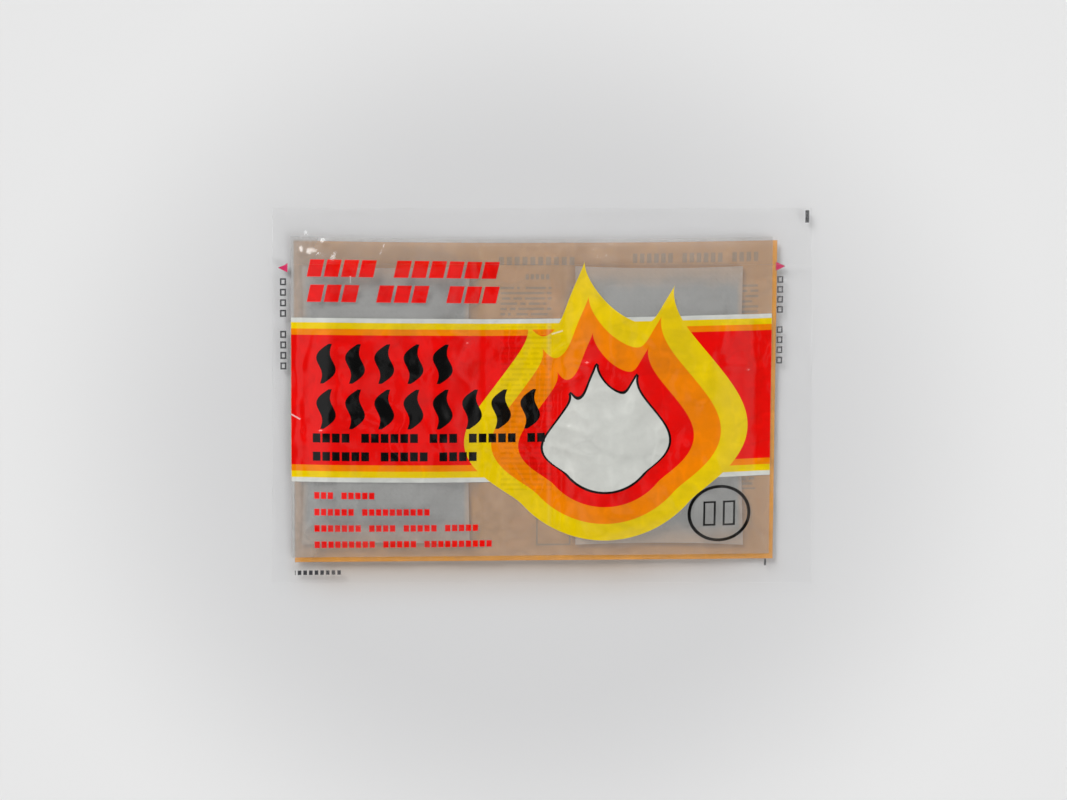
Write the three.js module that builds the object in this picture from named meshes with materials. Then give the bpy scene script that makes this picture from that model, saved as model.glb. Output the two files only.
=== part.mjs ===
// Twin-pack hand warmer: a clear printed film wrapper, heat-sealed on all four sides,
// that holds two powder-filled warmer pouches side by side.
// The wrapper tears open along a line between two notches near its top edge,
// and the pouches then slide out of the open mouth.
// Millimetres. The packet lies on its back: +X runs along its width, +Y towards its top edge
// and +Z out of its printed front. The origin is on the table, under the wrapper's centre.
import * as THREE from 'three';

// Warmer pouches: two sheets sealed round a powder filling
const pouchWidth = 56;
const pouchLength = 93;
const pouchSealMargin = 5;
const sideDraw = 0.7;
const sheetGauge = 0.25;
const frontCrown = 3.4;
const backCrown = 1.4;
const crownRun = 11;
const powderInset = 2;

// Wrapper: two film webs, and the room that they leave round the pouches
const filmGauge = 0.15;
const sideSealWidth = 8;
const bottomSealWidth = 7;
const topSealWidth = 8;
const filmFoot = 1.9;
const spareRight = 13;
const spareBottom = 3.8;
const middleFlat = 31.4;

// Tear line across the packet, just over the pouches' top edges
const mouthMargin = 0.5;
const closingRun = 10.8;
const notchDepth = 1.6;
const notchHalfHeight = 0.8;
const tearGap = 0.2;

// Clearance between pieces that lie on each other
const clearance = 0.3;

// The film reaches its full height before the crown under it does
const filmShoulderShare = 0.7;

// Steps along a curved run of film, crown or drawn-in side
const curveSteps = 4;

// The wrapper's plan, worked out from the pouches outwards
const pouchGap = middleFlat + 2 * filmFoot;
const bottomRoom = filmFoot + spareBottom;
const tearStripHeight = closingRun + topSealWidth;
const wrapperWidth = 2 * sideSealWidth + 2 * filmFoot + 2 * pouchWidth + pouchGap + spareRight;
const wrapperHeight = bottomSealWidth + bottomRoom + pouchLength + mouthMargin + tearStripHeight;
const left = -wrapperWidth / 2;
const right = wrapperWidth / 2;
const bottom = -wrapperHeight / 2;
const top = wrapperHeight / 2;
const tearLine = top - tearStripHeight;
const bottomSealEdge = bottom + bottomSealWidth;
const topSealEdge = top - topSealWidth;
const pouchBottom = bottomSealEdge + bottomRoom;
const pouchCentreY = pouchBottom + pouchLength / 2;
const leftPouchX = left + sideSealWidth + filmFoot + pouchWidth / 2;
const rightPouchX = leftPouchX + pouchWidth + pouchGap;
const pouchCentresX = [leftPouchX, rightPouchX];

// Height over the table of the plane where the two webs are sealed together
const sealHeight = backCrown + clearance + filmGauge;

const clearFilm = new THREE.MeshStandardMaterial({
  name: 'printed clear film',
  color: 0xc9c4bb,
  roughness: 0.25,
  metalness: 0,
  transparent: true,
  opacity: 0.55,
});
const orangeFilm = new THREE.MeshStandardMaterial({
  name: 'orange-printed clear film',
  color: 0xe9a24c,
  roughness: 0.3,
  metalness: 0,
  transparent: true,
  opacity: 0.75,
});
const porousSheet = new THREE.MeshStandardMaterial({
  name: 'porous nonwoven sheet',
  color: 0xdfe0dc,
  roughness: 0.9,
  metalness: 0,
});
const laminatedSheet = new THREE.MeshStandardMaterial({
  name: 'laminated nonwoven sheet',
  color: 0xcfd1cf,
  roughness: 0.7,
  metalness: 0,
});
const ironPowder = new THREE.MeshStandardMaterial({
  name: 'iron powder mix',
  color: 0x2e2b29,
  roughness: 1,
  metalness: 0,
});

/** Evenly spaced values from `from` to `to`, both included. */
function spread(from, to, steps) {
  return Array.from({ length: steps + 1 }, (_, i) => from + ((to - from) * i) / steps);
}

/** The values in rising order, without any that repeats within a thousandth of a millimetre. */
function inOrder(values) {
  const sorted = [...values].sort((a, b) => a - b);
  return sorted.filter((value, i) => i === 0 || value - sorted[i - 1] > 1e-3);
}

/** Quarter of a sine wave: 0 at share 0, rising to 1 at share 1 and beyond. */
function swell(share) {
  return Math.sin((THREE.MathUtils.clamp(share, 0, 1) * Math.PI) / 2);
}

/**
 * A closed slab over a plan of grid lines. Heights are measured from the seal plane, and each
 * cell is split along the diagonal that stands further from it, so that hips stay sharp.
 */
function slabOverGrid(columns, rows, planAt, lowAt, highAt) {
  const across = columns.length;
  const layer = across * rows.length;
  const positions = [];
  for (const heightAt of [lowAt, highAt]) {
    for (const y of rows) {
      for (const x of columns) {
        const [planX, planY] = planAt(x, y);
        positions.push(planX, planY, heightAt(x, y));
      }
    }
  }
  const indices = [];
  const rise = (corner) => Math.abs(positions[3 * corner + 2]);
  const quad = (a, b, c, d) => {
    if (rise(a) + rise(c) >= rise(b) + rise(d)) indices.push(a, b, c, a, c, d);
    else indices.push(a, b, d, b, c, d);
  };
  for (let j = 0; j + 1 < rows.length; j += 1) {
    for (let i = 0; i + 1 < across; i += 1) {
      const a = j * across + i;
      const [b, c, d] = [a + 1, a + across + 1, a + across];
      quad(a, d, c, b);
      quad(layer + a, layer + b, layer + c, layer + d);
    }
  }
  const rim = [];
  for (let i = 0; i < across - 1; i += 1) rim.push(i);
  for (let j = 0; j < rows.length - 1; j += 1) rim.push(j * across + across - 1);
  for (let i = across - 1; i > 0; i -= 1) rim.push(layer - across + i);
  for (let j = rows.length - 1; j > 0; j -= 1) rim.push(j * across);
  rim.forEach((a, n) => {
    const b = rim[(n + 1) % rim.length];
    indices.push(a, b, layer + b, a, layer + b, layer + a);
  });
  const geometry = new THREE.BufferGeometry();
  geometry.setAttribute('position', new THREE.Float32BufferAttribute(positions, 3));
  geometry.setIndex(indices);
  geometry.computeVertexNormals();
  return geometry;
}

/** How far a pouch's crown has risen, from 0 at its seal to 1, at a point from the pouch's centre. */
function crownShare(x, y) {
  const runX = THREE.MathUtils.clamp((pouchWidth / 2 - pouchSealMargin - Math.abs(x)) / crownRun, 0, 1);
  const runY = THREE.MathUtils.clamp((pouchLength / 2 - pouchSealMargin - Math.abs(y)) / crownRun, 0, 1);
  const risen = Math.max(0, 1 - Math.hypot(1 - runX, 1 - runY));
  return 1 - (1 - risen) ** 2;
}

/** Distances inwards from a pouch's edge at which its crown needs a grid line. */
const crownLines = [0, pouchSealMargin, ...spread(pouchSealMargin, pouchSealMargin + crownRun, curveSteps)];

/** Grid lines across a pouch piece of half size `half`, whose edge is `inset` inside the pouch's. */
function pouchGrid(half, inset) {
  const inner = crownLines.filter((line) => line > inset && line < half);
  const side = [inset, ...inner].map((line) => half - line);
  const middle = spread(-side.at(-1), side.at(-1), curveSteps);
  return inOrder([...side, ...side.map((value) => -value), ...middle]);
}

/** Draws each side of a pouch inwards between its corners. */
function drawnInPlan(x, y) {
  const acrossX = (2 * x) / pouchWidth;
  const alongY = (2 * y) / pouchLength;
  return [x - sideDraw * acrossX * (1 - alongY ** 2), y - sideDraw * alongY * (1 - acrossX ** 2)];
}

/** One nonwoven sheet of a pouch, crowned upwards for side 1 and downwards for side -1. */
function pouchSheet(side, crown) {
  const columns = pouchGrid(pouchWidth / 2, 0);
  const rows = pouchGrid(pouchLength / 2, 0);
  const inner = (x, y) => side * (crown - sheetGauge) * crownShare(x, y);
  const outer = (x, y) => inner(x, y) + side * sheetGauge;
  return slabOverGrid(columns, rows, drawnInPlan, side > 0 ? inner : outer, side > 0 ? outer : inner);
}

/** The powder filling between a pouch's two sheets. */
function powderFilling() {
  const inset = pouchSealMargin + powderInset;
  const columns = pouchGrid(pouchWidth / 2, inset);
  const rows = pouchGrid(pouchLength / 2, inset);
  const high = (x, y) => (frontCrown - sheetGauge) * crownShare(x, y) - clearance;
  const low = (x, y) => clearance - (backCrown - sheetGauge) * crownShare(x, y);
  return slabOverGrid(columns, rows, drawnInPlan, low, high);
}

// Distance inwards from a pouch's edge at which the film over it lies at its full height
const filmShoulder = pouchSealMargin + filmShoulderShare * crownRun;

/** Distances inwards from a pouch's edge at which the film over it needs a grid line. */
const webLines = [-filmFoot, -filmFoot / 2, ...spread(0, filmShoulder, curveSteps)];

/** How far a web stands off the seal plane over the pouch at `centreX`, whose mouth end is open. */
function riseOverPouch(x, y, centreX, crown) {
  const inwardsX = pouchWidth / 2 - Math.abs(x - centreX);
  const inwardsY = y - pouchBottom;
  const outside = Math.hypot(Math.min(inwardsX, 0), Math.min(inwardsY, 0));
  const foot = Math.max(0, 1 - outside / filmFoot);
  const overCrown = swell(inwardsX / filmShoulder) * swell(inwardsY / filmShoulder);
  return (sheetGauge + clearance) * foot + (crown - sheetGauge) * overCrown;
}

/** A web's distance off the seal plane, where it bulges over each pouch and closes over the mouth. */
function webLift(x, y, crown) {
  const rises = pouchCentresX.map((centreX) => riseOverPouch(x, y, centreX, crown));
  return Math.max(...rises) * swell((topSealEdge - y) / closingRun);
}

const webColumns = inOrder([
  left,
  left + sideSealWidth,
  ...pouchCentresX.flatMap((centreX) =>
    webLines.flatMap((line) => [centreX - pouchWidth / 2 + line, centreX + pouchWidth / 2 - line])
  ),
  right - sideSealWidth,
  right,
]);
const bodyRows = inOrder([
  bottom,
  bottomSealEdge,
  ...webLines.map((line) => pouchBottom + line),
  tearLine - tearGap / 2 - notchHalfHeight,
  tearLine - tearGap / 2,
]);
const stripRows = inOrder([
  tearLine + tearGap / 2,
  tearLine + tearGap / 2 + notchHalfHeight,
  ...spread(topSealEdge - closingRun, topSealEdge, curveSteps).slice(1),
  top,
]);

/** Draws the outer corners at the tear line inwards, which leaves a V notch in each side. */
function notchedPlan(tearRow) {
  const inside = (x) => THREE.MathUtils.clamp(x, left + notchDepth, right - notchDepth);
  return (x, y) => [y === tearRow ? inside(x) : x, y];
}

/** One film web of the wrapper, bulging upwards for side 1 and downwards for side -1. */
function filmWeb(side, crown, rows, tearRow) {
  const inner = (x, y) => side * webLift(x, y, crown);
  const outer = (x, y) => inner(x, y) + side * filmGauge;
  const [low, high] = side > 0 ? [inner, outer] : [outer, inner];
  return slabOverGrid(webColumns, rows, notchedPlan(tearRow), low, high);
}

/** A named mesh. */
function piece(name, geometry, material) {
  const mesh = new THREE.Mesh(geometry, material);
  mesh.name = name;
  return mesh;
}

/** The wrapper below the tear line, with its side and bottom seals. */
function buildWrapper() {
  const group = new THREE.Group();
  const tearRow = bodyRows.at(-1);
  group.add(piece('wrapper_front_film', filmWeb(1, frontCrown, bodyRows, tearRow), clearFilm));
  group.add(piece('wrapper_back_film', filmWeb(-1, backCrown, bodyRows, tearRow), orangeFilm));
  return group;
}

/** The strip above the tear line, with the top seal, that is torn off to open the packet. */
function buildTearStrip() {
  const group = new THREE.Group();
  const tearRow = stripRows[0];
  group.add(piece('tear_strip_front_film', filmWeb(1, frontCrown, stripRows, tearRow), clearFilm));
  group.add(piece('tear_strip_back_film', filmWeb(-1, backCrown, stripRows, tearRow), orangeFilm));
  return group;
}

/** One warmer pouch: a porous front sheet and a laminated back sheet, sealed round the powder. */
function buildPouch(side, centreX) {
  const group = new THREE.Group();
  group.position.set(centreX, pouchCentreY, 0);
  group.add(piece(`${side}_pouch_front_sheet`, pouchSheet(1, frontCrown), porousSheet));
  group.add(piece(`${side}_pouch_back_sheet`, pouchSheet(-1, backCrown), laminatedSheet));
  group.add(piece(`${side}_pouch_powder`, powderFilling(), ironPowder));
  return group;
}

const handWarmerPack = new THREE.Group();
handWarmerPack.position.z = sealHeight;
handWarmerPack.add(buildWrapper());
handWarmerPack.add(buildTearStrip());
handWarmerPack.add(buildPouch('left', leftPouchX));
handWarmerPack.add(buildPouch('right', rightPouchX));

export default handWarmerPack;
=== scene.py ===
"""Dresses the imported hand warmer: a printed film wrapper with its tear-off strip, and two powder pouches.

Sizes in the dataclasses are millimetres, in the packet's own plan: +X to the right as the print is read,
+Y towards the tear-off strip, +Z out of the printed front. Meshes are written in metres.
"""

import logging
import math
from collections.abc import Sequence
from dataclasses import dataclass
from enum import Enum

import bpy
import numpy as np
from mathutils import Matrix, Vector


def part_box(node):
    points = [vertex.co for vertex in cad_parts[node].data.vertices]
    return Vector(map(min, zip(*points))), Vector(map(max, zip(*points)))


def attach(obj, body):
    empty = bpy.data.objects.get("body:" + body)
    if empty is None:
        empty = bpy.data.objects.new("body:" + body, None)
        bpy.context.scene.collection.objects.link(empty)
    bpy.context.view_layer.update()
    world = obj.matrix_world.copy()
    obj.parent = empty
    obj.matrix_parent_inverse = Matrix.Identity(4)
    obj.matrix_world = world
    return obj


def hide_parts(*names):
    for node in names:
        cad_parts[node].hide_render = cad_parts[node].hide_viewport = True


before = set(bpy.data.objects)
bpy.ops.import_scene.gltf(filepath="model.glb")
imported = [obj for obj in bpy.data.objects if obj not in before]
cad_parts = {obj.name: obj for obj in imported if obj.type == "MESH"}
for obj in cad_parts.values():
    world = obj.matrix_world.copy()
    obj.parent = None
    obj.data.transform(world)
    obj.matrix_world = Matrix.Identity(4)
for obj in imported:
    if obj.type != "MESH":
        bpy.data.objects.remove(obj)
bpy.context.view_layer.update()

MM = 0.001
SMOOTH_ANGLE = math.radians(60)
log = logging.getLogger("hand_warmer")

Number = float | int
Point = tuple[float, float]
Pair = tuple[float, float]
Triple = tuple[float, float, float]
Colour = Triple
Field = np.ndarray
Settings = dict[str, object]
Values = dict[object, object]


class Side(Enum):
    """The two faces of the packet, with the sign of the direction in which each looks."""

    FRONT = 1
    BACK = -1


class Half(Enum):
    """The two pouches of a packet."""

    LEFT = "left"
    RIGHT = "right"


class Web(Enum):
    """The two parts of each film web, which come apart along the tear line."""

    WRAPPER = "wrapper"
    TEAR_STRIP = "tear_strip"


def box_mm(node: str) -> tuple[Field, Field]:
    """Gives a CAD node's lowest and highest corner in millimetres."""
    low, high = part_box(node)
    return np.array(low) / MM, np.array(high) / MM


def ease(share: Field) -> Field:
    """An S-shaped rise from 0 at share 0 to 1 at share 1."""
    held = np.clip(share, 0.0, 1.0)
    return held * held * (3 - 2 * held)


# Relief of the limp sheets


@dataclass(frozen=True)
class Ridge:
    """A ridge pressed into a sheet along a straight line. A negative height makes it a furrow."""

    start: Point
    end: Point
    width: float
    height: float

    def lift(self, x: Field, y: Field) -> Field:
        """Works out how far the ridge lifts the sheet.

        Args:
            x: Places across the packet.
            y: Places up the packet.

        Returns:
            The lift at each place.
        """
        run = np.subtract(self.end, self.start)
        along = ((x - self.start[0]) * run[0] + (y - self.start[1]) * run[1]) / max(run @ run, 1e-6)
        along = np.clip(along, 0.0, 1.0)
        gap = np.hypot(x - self.start[0] - along * run[0], y - self.start[1] - along * run[1])
        return self.height * np.exp(-((gap / self.width) ** 2))


@dataclass(frozen=True)
class Crumple:
    """A scatter of short ridges over a rectangle of the sheet."""

    seed: int
    count: int
    low: Point
    high: Point
    length: float
    width: float
    height: float
    heading: float = 0.0
    spread: float = 180.0
    lengths: Pair = (0.4, 1.6)
    widths: Pair = (0.6, 1.5)

    def ridges(self) -> list[Ridge]:
        """Scatters the ridges, alike on each run.

        Returns:
            The ridges.
        """
        chance = np.random.default_rng(self.seed)
        made = []
        for _ in range(self.count):
            middle = chance.uniform(self.low, self.high)
            turn = math.radians(self.heading + chance.uniform(-0.5, 0.5) * self.spread)
            half = 0.5 * self.length * chance.uniform(*self.lengths)
            half = half * np.array([math.cos(turn), math.sin(turn)])
            height = self.height * chance.uniform(-1.0, 1.0)
            share = chance.uniform(*self.widths)
            start, end = tuple(middle - half), tuple(middle + half)
            made.append(Ridge(start, end, self.width * share, height * share))
        return made


@dataclass(frozen=True)
class Swells:
    """A smooth unevenness made of plane waves of about one wavelength."""

    seed: int
    wavelength: float
    height: float
    waves: int = 18
    spread: Pair = (0.7, 1.6)

    def lift(self, x: Field, y: Field) -> Field:
        """Works out the unevenness.

        Args:
            x: Places across the packet.
            y: Places up the packet.

        Returns:
            The lift at each place, mostly within the height either way.
        """
        chance = np.random.default_rng(self.seed)
        total = np.zeros_like(x)
        for _ in range(self.waves):
            turn, phase = chance.uniform(0, 2 * math.pi, 2)
            rate = 2 * math.pi / (self.wavelength * chance.uniform(*self.spread))
            total += np.sin(rate * (x * math.cos(turn) + y * math.sin(turn)) + phase)
        return self.height * total / math.sqrt(self.waves)


# Node expressions


class Term:
    """A value on its way through a material's nodes, worked with as in arithmetic."""

    def __init__(self, bench: "Bench", socket: bpy.types.NodeSocket) -> None:
        """Wraps an output socket of one of the bench's nodes."""
        self.bench = bench
        self.socket = socket

    def step(self, operation: str, *others: "Term | Number") -> "Term":
        """Adds one Math node on this value and the others."""
        return self.bench.math(operation, self, *others)

    def __add__(self, other: "Term | Number") -> "Term":
        """Adds."""
        return self.step("ADD", other)

    __radd__ = __add__

    def __sub__(self, other: "Term | Number") -> "Term":
        """Subtracts."""
        return self.step("SUBTRACT", other)

    def __rsub__(self, other: Number) -> "Term":
        """Subtracts this from a number."""
        return self.bench.math("SUBTRACT", other, self)

    def __mul__(self, other: "Term | Number") -> "Term":
        """Multiplies."""
        return self.step("MULTIPLY", other)

    __rmul__ = __mul__

    def __truediv__(self, other: "Term | Number") -> "Term":
        """Divides."""
        return self.step("DIVIDE", other)

    def __pow__(self, other: Number) -> "Term":
        """Raises to a power."""
        return self.step("POWER", other)

    def __abs__(self) -> "Term":
        """Drops the sign."""
        return self.step("ABSOLUTE")

    def least(self, other: "Term | Number") -> "Term":
        """The lower of two values."""
        return self.step("MINIMUM", other)

    def most(self, other: "Term | Number") -> "Term":
        """The higher of two values."""
        return self.step("MAXIMUM", other)

    def joined(self, other: "Term | Number", reach: Number) -> "Term":
        """The lower of two values, blended smoothly where they come within a reach of each other."""
        return self.step("SMOOTH_MIN", other, reach)

    def held(self) -> "Term":
        """Held between 0 and 1."""
        return self.bench.math("ADD", self, 0.0, clamp=True)

    def eased(self) -> "Term":
        """An S-shaped rise, for a value that is held between 0 and 1."""
        return self * self * (3 - 2 * self)

    def inside(self, soft: float = 0.16) -> "Term":
        """1 where a signed distance is below zero and 0 above it, with an edge of that softness."""
        return self.bench.math("SUBTRACT", 0.5, self / soft, clamp=True)


class Bench:
    """One material with its nodes, and the means to add to them."""

    def __init__(self, name: str) -> None:
        """Makes an empty material with a Principled shader that feeds its output.

        Args:
            name: The material's name.
        """
        self.material = bpy.data.materials.new(name)
        self.material.use_nodes = True
        self.tree = self.material.node_tree
        self.tree.nodes.clear()
        self.shader = self.tree.nodes.new("ShaderNodeBsdfPrincipled")
        output = self.tree.nodes.new("ShaderNodeOutputMaterial")
        self.tree.links.new(self.shader.outputs[0], output.inputs["Surface"])

    def put(self, socket: bpy.types.NodeSocket, value: object) -> None:
        """Links a term to an input socket, or sets a plain value on it.

        Args:
            socket: The input socket.
            value: A term, a number, a vector or a colour.
        """
        if isinstance(value, Term):
            self.tree.links.new(value.socket, socket)
        elif socket.type == "RGBA" and len(value) == 3:
            socket.default_value = (*value, 1.0)
        else:
            socket.default_value = value

    def node(self, kind: str, settings: Settings, values: Values) -> bpy.types.Node:
        """Adds one node.

        Args:
            kind: The node's type.
            settings: Properties that are set first.
            values: Plain values or terms for its input sockets, by name or number.

        Returns:
            The new node.
        """
        made = self.tree.nodes.new(kind)
        for name, value in settings.items():
            setattr(made, name, value)
        for key, value in values.items():
            self.put(made.inputs[key], value)
        return made

    def term(self, kind: str, settings: Settings, values: Values, out: object = 0) -> Term:
        """Adds one node and gives the term of one of its outputs."""
        return Term(self, self.node(kind, settings, values).outputs[out])

    def math(self, operation: str, *values: "Term | Number", clamp: bool = False) -> Term:
        """Adds one Math node."""
        settings = {"operation": operation, "use_clamp": clamp}
        return self.term("ShaderNodeMath", settings, dict(enumerate(values)))

    def vector(self, operation: str, *values: object, out: object = 0) -> Term:
        """Adds one Vector Math node."""
        return self.term("ShaderNodeVectorMath", {"operation": operation}, dict(enumerate(values)), out)

    def mix(self, share: "Term | Number", first: object, second: object) -> Term:
        """Goes from the first colour to the second as the share rises."""
        settings = {"data_type": "RGBA"}
        return self.term("ShaderNodeMix", settings, {0: share, 6: first, 7: second}, 2)

    def blend(self, share: "Term | Number", first: "Term | Number", second: "Term | Number") -> Term:
        """Goes from the first number to the second as the share rises."""
        return self.term("ShaderNodeMix", {"data_type": "FLOAT"}, {0: share, 2: first, 3: second}, 0)

    def split(self, vector: Term) -> tuple[Term, Term, Term]:
        """Gives the three parts of a vector."""
        parts = self.node("ShaderNodeSeparateXYZ", {}, {0: vector})
        return tuple(Term(self, parts.outputs[i]) for i in range(3))

    def place(self) -> Term:
        """The place on the packet, in millimetres."""
        here = self.term("ShaderNodeTexCoord", {}, {}, "Object")
        return self.vector("MULTIPLY", here, (1 / MM, 1 / MM, 1 / MM))

    def noise(self, place: Term, size: float, detail: float = 2.0, rough: float = 0.5) -> Term:
        """Cloudy unevenness from 0 to 1, with spots of about the given size in millimetres."""
        values = {"Vector": place, "Scale": 1 / size, "Detail": detail, "Roughness": rough}
        return self.term("ShaderNodeTexNoise", {}, values, 0)

    def bump(self, height: Term, distance: float, strength: float = 1.0) -> None:
        """Feeds the shader's normal from a relief whose height runs from 0 to 1 over a distance in mm."""
        values = {"Height": height, "Distance": distance * MM, "Strength": strength}
        self.put(self.shader.inputs["Normal"], self.term("ShaderNodeBump", {}, values, 0))

    def finish(self, **values: object) -> bpy.types.Material:
        """Sets the shader's sockets and gives the material.

        Args:
            **values: A value or term for each socket, named with _ for its spaces.

        Returns:
            The finished material.
        """
        for name, value in values.items():
            self.put(self.shader.inputs[name.replace("_", " ").title().replace("Ior", "IOR")], value)
        return self.material


@dataclass(frozen=True)
class Ink:
    """One printing ink: its colour, how much it hides and how metallic it is."""

    colour: Colour
    cover: float
    metal: float = 0.0


CLEAR = Ink((1.0, 1.0, 1.0), 0.01, 1.0)
SILVER = Ink((0.50, 0.50, 0.49), 0.36, 0.1)
WHITE = Ink((0.64, 0.65, 0.61), 0.90)
YELLOW = Ink((0.84, 0.60, 0.001), 0.88)
ORANGE = Ink((0.885, 0.225, 0.0005), 0.92)
RED = Ink((0.80, 0.004, 0.003), 0.94)
BLACK = Ink((0.004, 0.004, 0.004), 0.97)
MAGENTA = Ink((0.62, 0.03, 0.12), 0.93)
AMBER = Ink((0.74, 0.32, 0.045), 0.80)
BROWN = Ink((0.45, 0.24, 0.08), 0.82)
GREY = Ink((0.05, 0.05, 0.055), 0.85)


class InkStack:
    """Inks laid over each other on clear film, each where its own mask says."""

    def __init__(self, bench: Bench) -> None:
        """Starts with bare film.

        Args:
            bench: The material that is being made.
        """
        self.bench = bench
        self.colour: object = CLEAR.colour
        self.cover: Term | Number = CLEAR.cover
        self.metal: Term | Number = CLEAR.metal

    def lay(self, mask: Term, ink: Ink) -> None:
        """Lays one ink over what is there.

        Args:
            mask: 1 where the ink is and 0 elsewhere.
            ink: The ink.
        """
        self.colour = self.bench.mix(mask, self.colour, ink.colour)
        self.cover = self.bench.blend(mask, self.cover, ink.cover)
        self.metal = self.bench.blend(mask, self.metal, ink.metal)


# The print


@dataclass(frozen=True)
class PrintFrame:
    """The rectangle of a print on its flat web, and where its corners lie on the packet."""

    top_left: Point
    top_right: Point
    bottom_right: Point
    bottom_left: Point
    width: float = 160.0
    height: float = 107.0
    skew: float = 0.0
    sag: float = 0.0

    def on_print(self, x: Field, y: Field) -> tuple[Field, Field]:
        """Turns places on the packet into places on the flat print.

        Args:
            x: Places across the packet.
            y: Places up the packet.

        Returns:
            Places across and up the print, from its centre.
        """
        across = np.full_like(x, 0.5)
        up = np.full_like(x, 0.5)
        for _ in range(4):
            left = self.bottom_left[0] + up * (self.top_left[0] - self.bottom_left[0])
            right = self.bottom_right[0] + up * (self.top_right[0] - self.bottom_right[0])
            across = (x - left) / (right - left)
            low = self.bottom_left[1] + across * (self.bottom_right[1] - self.bottom_left[1])
            high = self.top_left[1] + across * (self.top_right[1] - self.top_left[1])
            up = (y - low) / (high - low)
        held, along = np.clip(up, 0.0, 1.0), np.clip(across, 0.0, 1.0)
        slack = np.clip(5 * up, 0.0, 1.0) * 4 * along * (1 - along)
        up = up - self.skew * along * 4 * held * (1 - held) + self.sag * slack
        return (across - 0.5) * self.width, (up - 0.5) * self.height


FRONT_PRINT = PrintFrame((-83.9, 53.2), (77.1, 53.0), (75.7, -52.7), (-83.5, -54.1), skew=0.015, sag=0.011)
BACK_PRINT = PrintFrame((-83.0, 51.8), (78.6, 51.9), (77.0, -54.4), (-82.5, -55.7), sag=0.008)
MAP_REACH = 200.0
# Whole cells added ahead of a Modulo node, whose pattern is mirrored below zero
ROW_CELLS = 50
BOX_CELLS = 40


@dataclass(frozen=True)
class Row:
    """A row of plain blocks, grouped as words are, with one block left out between the groups."""

    middle: float
    half: float
    left: float
    pitch: float
    groups: tuple[int, ...]
    gap: float = 0.2

    def spans(self) -> list[Point]:
        """Works out where the groups stand.

        Returns:
            Each group's left and right end.
        """
        found, left = [], self.left
        for count in self.groups:
            found.append((left, left + count * self.pitch))
            left += (count + 1) * self.pitch
        return found


@dataclass(frozen=True)
class Tongue:
    """One tongue of a flame: its foot, height and half width, how it leans and sways, and how it ends."""

    foot: Point
    height: float
    half: float
    lean: float
    sway: float
    tip: float = 1.2
    belly: float = 0.5
    sway_turn: float = 1.6 * math.pi
    tip_trim: float = 0.08

    def fullness(self) -> float:
        """The greatest value of the tongue's profile, by which its half width is divided."""
        peak = self.belly / (self.belly + self.tip)
        return peak**self.belly * (1 - peak) ** self.tip


def oblong(u: Term, v: Term, middle: Point, half: Point) -> Term:
    """Works out the signed distance to an upright oblong.

    Args:
        u: The place across the print.
        v: The place up the print.
        middle: The oblong's middle.
        half: Half its width and height.

    Returns:
        The distance, below zero inside.
    """
    return (abs(u - middle[0]) - half[0]).most(abs(v - middle[1]) - half[1])


def row_mask(u: Term, v: Term, rows: Sequence[Row], slant: float = 0.0) -> Term:
    """Works out the mask of rows of bars.

    Args:
        u: The place across the print.
        v: The place up the print.
        rows: The rows.
        slant: How far the bars lean to the right for each millimetre up.

    Returns:
        1 on the bars and 0 off them.
    """
    mask: Term | None = None
    for row in rows:
        along = u - (v - row.middle) * slant
        ends: Term | None = None
        for left, right in row.spans():
            end = abs(along - (left + right) / 2) - (right - left) / 2
            ends = end if ends is None else ends.least(end)
        cell = (along - row.left + ROW_CELLS * row.pitch).step("MODULO", row.pitch) - row.pitch / 2
        block = abs(cell) - (1 - row.gap) * row.pitch / 2
        shape = ends.most(block).most(abs(v - row.middle) - row.half).inside()
        mask = shape if mask is None else mask.most(shape)
    return mask


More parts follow.
